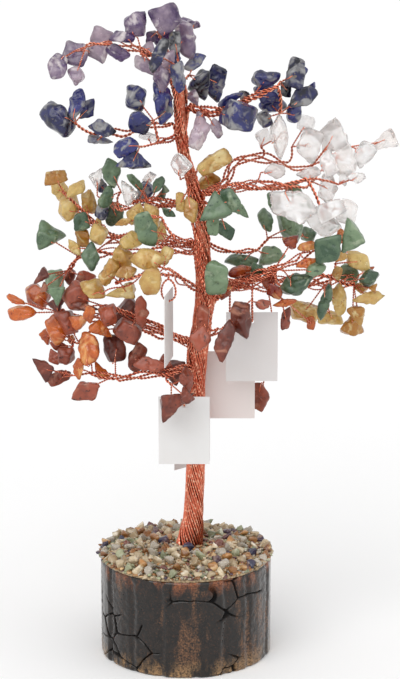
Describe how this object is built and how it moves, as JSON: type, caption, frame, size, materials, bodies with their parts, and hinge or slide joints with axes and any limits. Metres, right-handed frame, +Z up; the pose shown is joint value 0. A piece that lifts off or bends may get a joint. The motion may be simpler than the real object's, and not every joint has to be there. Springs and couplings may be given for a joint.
{
  "type": "gemstone tree",
  "caption": "Ornamental tree of twisted copper wire tipped with gemstone chips, in a gravel-topped log slice, with blank card tags hung on wire loops.",
  "frame": {"origin": "middle of the log slice's underside", "axes": "+Z up along the trunk, -Y towards the viewer, +X to the viewer's right"},
  "size_m": [0.1708, 0.0761, 0.2838],
  "materials": {
    "copper": "satin copper wire",
    "wood": "sawn",
    "bark": "glossy lacquer",
    "glue": "clear set glue",
    "card": "matt blank card",
    "amethyst": "tumbled polish",
    "lapis": "tumbled polish",
    "quartz": "tumbled polish",
    "aventurine": "tumbled polish",
    "citrine": "tumbled polish",
    "carnelian": "tumbled polish",
    "jasper": "tumbled polish",
    "gravel_cream": "tumbled",
    "gravel_amber": "tumbled",
    "gravel_green": "tumbled",
    "gravel_dark": "tumbled",
    "gravel_clear": "tumbled"
  },
  "bodies": {
    "tree": {"wood_core": "wood", "bark_shell": "bark", "glue_bed": "glue", "gravel_clear": "gravel_clear", "gravel_green": "gravel_green", "gravel_amber": "gravel_amber", "gravel_cream": "gravel_cream", "gravel_dark": "gravel_dark", "trunk_core": "copper", "trunk_strands": "copper", "amethyst_left_wire": "copper", "amethyst_crown_wire": "copper", "lapis_crown_wire": "copper", "lapis_left_wire": "copper", "lapis_inner_wire": "copper", "lapis_right_wire": "copper", "quartz_upper_wire": "copper", "quartz_lower_wire": "copper", "aventurine_center_wire": "copper", "citrine_center_wire": "copper", "aventurine_right_wire": "copper", "carnelian_right_wire": "copper", "citrine_right_wire": "copper", "aventurine_left_wire": "copper", "citrine_far_left_wire": "copper", "citrine_hub_wire": "copper", "citrine_left_wire": "copper", "jasper_left_wire": "copper", "jasper_far_left_wire": "copper", "carnelian_left_wire": "copper", "jasper_low_wire": "copper", "jasper_center_wire": "copper", "loop_a": "copper", "loop_b": "copper", "loop_c": "copper", "loop_d": "copper", "loop_e": "copper", "amethyst_chips_left": "amethyst", "lapis_chips_left": "lapis", "amethyst_chips_right": "amethyst", "lapis_chips_right": "lapis", "quartz_chips_left": "quartz", "quartz_chips_right": "quartz", "aventurine_chips_right": "aventurine", "citrine_chips_right": "citrine", "citrine_chips_left": "citrine", "carnelian_chips_right": "carnelian", "jasper_chips_right": "jasper", "aventurine_chips_left": "aventurine", "jasper_chips_left": "jasper", "carnelian_chips_left": "carnelian"},
    "card_a": {"card_a": "card"},
    "card_b": {"card_b": "card"},
    "card_c": {"card_c": "card"},
    "card_d": {"card_d": "card"},
    "card_e": {"card_e": "card"}
  },
  "joints": [
    {"name": "card_a_swing", "type": "hinge", "parent": "tree", "child": "card_a", "pos_m": [-0.00674, -0.01878, 0.16093], "axis": [-0.9903, 0.1392, 0], "range_deg": [-25, 25]},
    {"name": "card_b_swing", "type": "hinge", "parent": "tree", "child": "card_b", "pos_m": [0.02848, -0.00814, 0.15002], "axis": [0, 1, 0], "range_deg": [-25, 25]},
    {"name": "card_c_swing", "type": "hinge", "parent": "tree", "child": "card_c", "pos_m": [0.01925, 0.0068, 0.12955], "axis": [0, 1, 0], "range_deg": [-25, 25]},
    {"name": "card_d_swing", "type": "hinge", "parent": "tree", "child": "card_d", "pos_m": [-0.00045, -0.00651, 0.11266], "axis": [0, 1, 0], "range_deg": [-25, 25]},
    {"name": "card_e_swing", "type": "hinge", "parent": "tree", "child": "card_e", "pos_m": [0.00293, 0.018, 0.10487], "axis": [-0.7071, 0.7071, 0], "range_deg": [-25, 25]}
  ]
}
